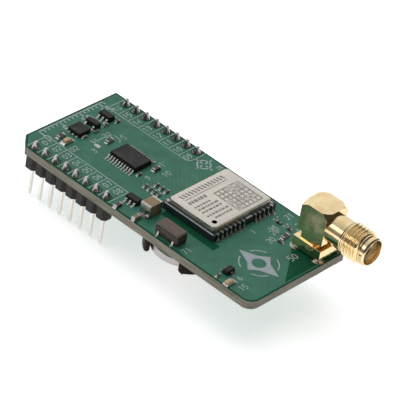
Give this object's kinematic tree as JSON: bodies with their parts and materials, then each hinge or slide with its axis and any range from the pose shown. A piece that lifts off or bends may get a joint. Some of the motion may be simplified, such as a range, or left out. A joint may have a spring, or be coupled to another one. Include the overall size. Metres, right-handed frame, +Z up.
{
  "type": "satellite positioning receiver board",
  "caption": "Plug-in circuit board on two pin headers, with a shielded receiver module, a right-angle coax antenna jack and a coin cell in a holder underneath.",
  "frame": {"origin": "centre of the circuit board's outline, on its underside", "axes": "+X along the board towards the antenna jack, +Y across it towards the far pin row, +Z up out of the component side"},
  "size_m": [0.0648, 0.0254, 0.0198],
  "materials": {
    "board_green": "semi-gloss solder mask",
    "cell_steel": "satin steel",
    "ceramic_dark": "fired ceramic",
    "ceramic_tan": "fired ceramic",
    "contact_nickel": "nickel plate",
    "jack_gold": "polished gold plate",
    "lens_amber": "cast resin lens",
    "module_board": "dark solder mask",
    "moulding_black": "matt moulded",
    "moulding_brown": "matt moulded",
    "pin_tin": "bright tin",
    "ptfe_white": "satin",
    "shield_nickel": "satin nickel silver"
  },
  "bodies": {
    "board_assembly": {"antenna_bias_resistor": "ceramic_dark", "antenna_capacitor": "ceramic_dark", "antenna_inductor": "ceramic_dark", "bias_resistor_1": "ceramic_dark", "bias_resistor_2": "ceramic_dark", "bias_resistor_3": "ceramic_dark", "bias_resistor_4": "ceramic_dark", "bulk_capacitor": "ceramic_tan", "cell_clip": "contact_nickel", "cell_holder": "moulding_black", "cell_spring": "contact_nickel", "circuit_board": "board_green", "decoupling_capacitor_1": "ceramic_dark", "decoupling_capacitor_2": "ceramic_dark", "decoupling_capacitor_3": "ceramic_dark", "header_pin_far_1": "pin_tin", "header_pin_far_2": "pin_tin", "header_pin_far_3": "pin_tin", "header_pin_far_4": "pin_tin", "header_pin_far_5": "pin_tin", "header_pin_far_6": "pin_tin", "header_pin_far_7": "pin_tin", "header_pin_far_8": "pin_tin", "header_pin_near_1": "pin_tin", "header_pin_near_2": "pin_tin", "header_pin_near_3": "pin_tin", "header_pin_near_4": "pin_tin", "header_pin_near_5": "pin_tin", "header_pin_near_6": "pin_tin", "header_pin_near_7": "pin_tin", "header_pin_near_8": "pin_tin", "header_strip_far": "moulding_black", "header_strip_near": "moulding_black", "jack_body": "jack_gold", "jack_contact": "jack_gold", "jack_insulator": "ptfe_white", "level_translator": "moulding_black", "line_filter": "moulding_brown", "load_switch": "moulding_black", "output_capacitor": "ceramic_tan", "power_capacitor": "ceramic_tan", "power_chip": "moulding_black", "power_led": "lens_amber", "power_led_resistor": "ceramic_dark", "pulse_led": "lens_amber", "pulse_led_resistor": "ceramic_dark", "pulse_transistor": "moulding_black", "receiver_base": "module_board", "receiver_chip": "moulding_black", "receiver_shield": "shield_nickel", "regulator": "moulding_black", "regulator_capacitor": "ceramic_dark", "reset_resistor": "ceramic_dark", "reset_transistor": "moulding_black", "supply_select_link": "ceramic_dark", "switch_capacitor": "ceramic_tan", "switch_resistor": "ceramic_dark", "translator_capacitor_1": "ceramic_dark", "translator_capacitor_2": "ceramic_dark"},
    "cell": {"coin_cell": "cell_steel"}
  },
  "joints": [
    {"name": "cell_slide", "type": "slide", "parent": "board_assembly", "child": "cell", "axis": [0, 0, -1], "range_m": [0, 0.004]}
  ]
}
